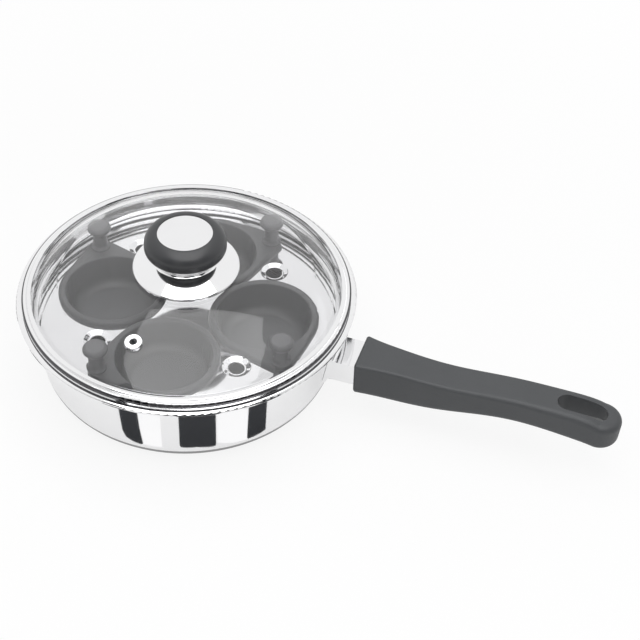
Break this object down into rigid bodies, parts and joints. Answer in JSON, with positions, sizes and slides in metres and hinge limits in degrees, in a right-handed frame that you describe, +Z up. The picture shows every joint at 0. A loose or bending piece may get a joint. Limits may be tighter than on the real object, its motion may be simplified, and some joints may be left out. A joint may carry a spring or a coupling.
{
  "type": "egg poacher pan",
  "caption": "Steel saute pan with a long moulded handle, a drop-in rack plate with lift-out egg cups, and a domed glass lid with a steam vent and knob.",
  "frame": {"origin": "centre of the base underside, where the pan stands", "axes": "+Z up along the pan's axis, +X out along the handle"},
  "size_m": [0.3794, 0.2094, 0.1099],
  "materials": {
    "mirror_steel": "mirror polished stainless steel",
    "base_steel": "finely turned stainless steel",
    "core_aluminium": "plain",
    "lid_glass": "clear tempered glass",
    "cup_coating": "dark non-stick coating on steel, satin",
    "post_moulding": "satin phenolic",
    "handle_moulding": "fine matt phenolic",
    "knob_moulding": "semi-gloss phenolic",
    "fastener_steel": "zinc plated",
    "insert_brass": "turned",
    "gasket_rubber": "translucent silicone"
  },
  "bodies": {
    "pan": {"pan_shell": "mirror_steel", "base_cap": "base_steel", "base_core": "core_aluminium", "handle_bracket": "mirror_steel", "handle_grip": "handle_moulding", "handle_screw": "fastener_steel"},
    "rack": {"rack_plate": "mirror_steel"},
    "lid": {"lid_glass": "lid_glass", "lid_band": "mirror_steel", "steam_vent": "mirror_steel", "knob_skirt": "mirror_steel", "knob_body": "knob_moulding", "knob_cap": "mirror_steel", "knob_insert": "insert_brass", "knob_gasket": "gasket_rubber", "knob_washer": "fastener_steel", "knob_screw": "fastener_steel"},
    "cup_1": {"cup_shell_1": "cup_coating", "cup_post_1": "post_moulding", "cup_screw_1": "fastener_steel"},
    "cup_2": {"cup_shell_2": "cup_coating", "cup_post_2": "post_moulding", "cup_screw_2": "fastener_steel"},
    "cup_3": {"cup_shell_3": "cup_coating", "cup_post_3": "post_moulding", "cup_screw_3": "fastener_steel"},
    "cup_4": {"cup_shell_4": "cup_coating", "cup_post_4": "post_moulding", "cup_screw_4": "fastener_steel"}
  },
  "joints": [
    {"name": "rack_lift", "type": "slide", "parent": "pan", "child": "rack", "axis": [0, 0, 1], "range_m": [0, 0.08]},
    {"name": "lid_lift", "type": "slide", "parent": "rack", "child": "lid", "axis": [0, 0, 1], "range_m": [0, 0.12]},
    {"name": "cup_1_lift", "type": "slide", "parent": "rack", "child": "cup_1", "axis": [0, 0, 1], "range_m": [0, 0.036]},
    {"name": "cup_2_lift", "type": "slide", "parent": "rack", "child": "cup_2", "axis": [0, 0, 1], "range_m": [0, 0.036]},
    {"name": "cup_3_lift", "type": "slide", "parent": "rack", "child": "cup_3", "axis": [0, 0, 1], "range_m": [0, 0.036]},
    {"name": "cup_4_lift", "type": "slide", "parent": "rack", "child": "cup_4", "axis": [0, 0, 1], "range_m": [0, 0.036]}
  ],
  "couplings": [
    {"joint": "cup_1_lift", "follows": "lid_lift", "ratio": 0.3},
    {"joint": "cup_2_lift", "follows": "lid_lift", "ratio": 0.3},
    {"joint": "cup_3_lift", "follows": "lid_lift", "ratio": 0.3},
    {"joint": "cup_4_lift", "follows": "lid_lift", "ratio": 0.3}
  ]
}
